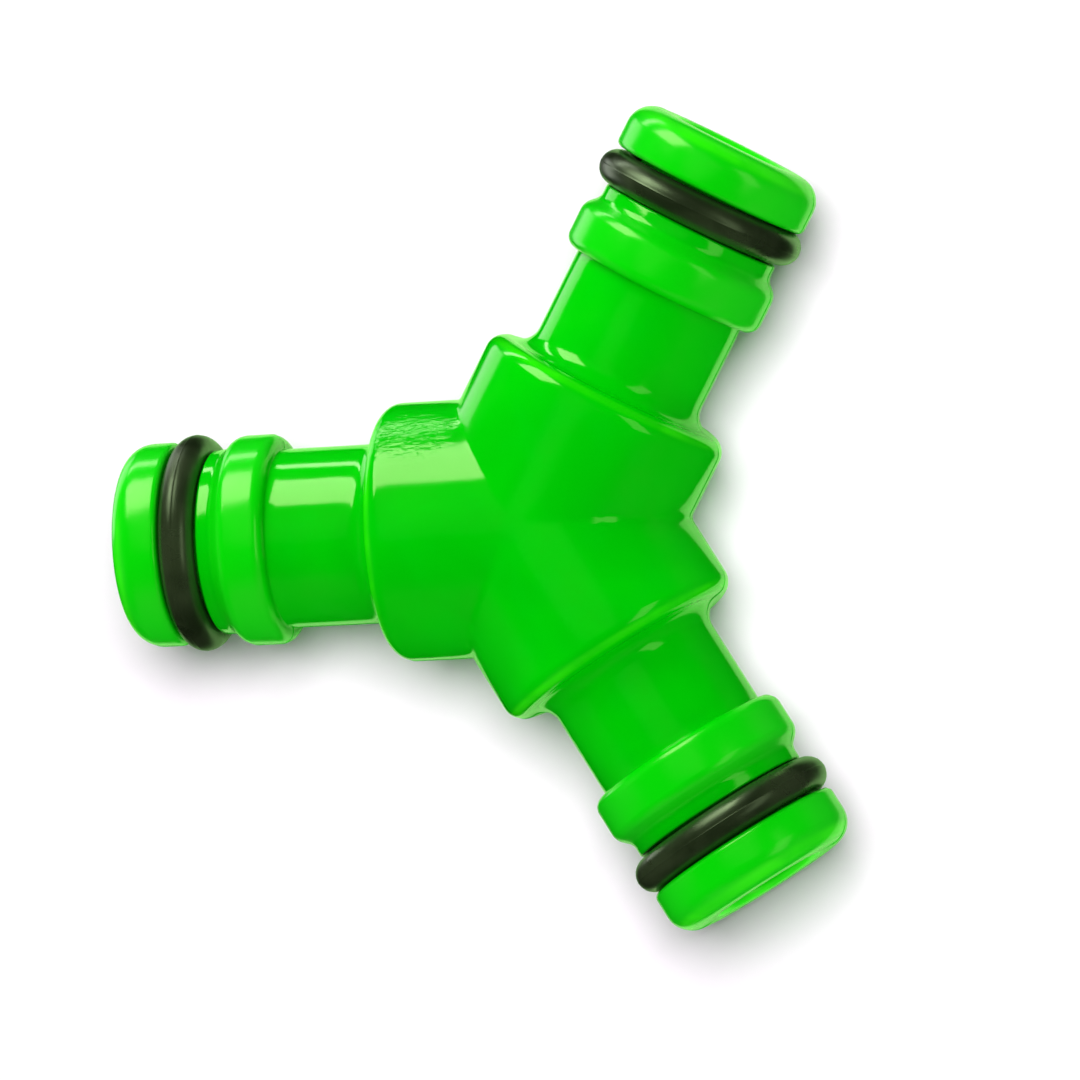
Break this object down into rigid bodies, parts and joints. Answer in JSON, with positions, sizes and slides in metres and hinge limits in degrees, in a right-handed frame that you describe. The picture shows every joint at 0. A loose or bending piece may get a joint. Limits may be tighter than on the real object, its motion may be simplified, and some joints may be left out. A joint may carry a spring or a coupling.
{
  "type": "three-way hose coupler",
  "caption": "Y-shaped garden hose splitter: a bright green moulded hub with hollow click-on spigots at 120 degrees, each sealed by a black rubber O-ring.",
  "frame": {"origin": "where the axes of the three bores cross, in the middle of the hub", "axes": "+Z square to the plane of the three arms; the inlet spigot points along -X, the outlet spigots at +60 degrees (left) and -60 degrees (right) from +X in the XY plane"},
  "size_m": [0.0587, 0.0672, 0.0212],
  "materials": {
    "body_plastic": "glossy bright green injection-moulded plastic with a fine parting line",
    "ring_rubber": "satin black nitrile rubber, lightly greased"
  },
  "bodies": {
    "root": {"moulded_body": "body_plastic", "o_ring_inlet": "ring_rubber", "o_ring_outlet_left": "ring_rubber", "o_ring_outlet_right": "ring_rubber"}
  },
  "joints": []
}
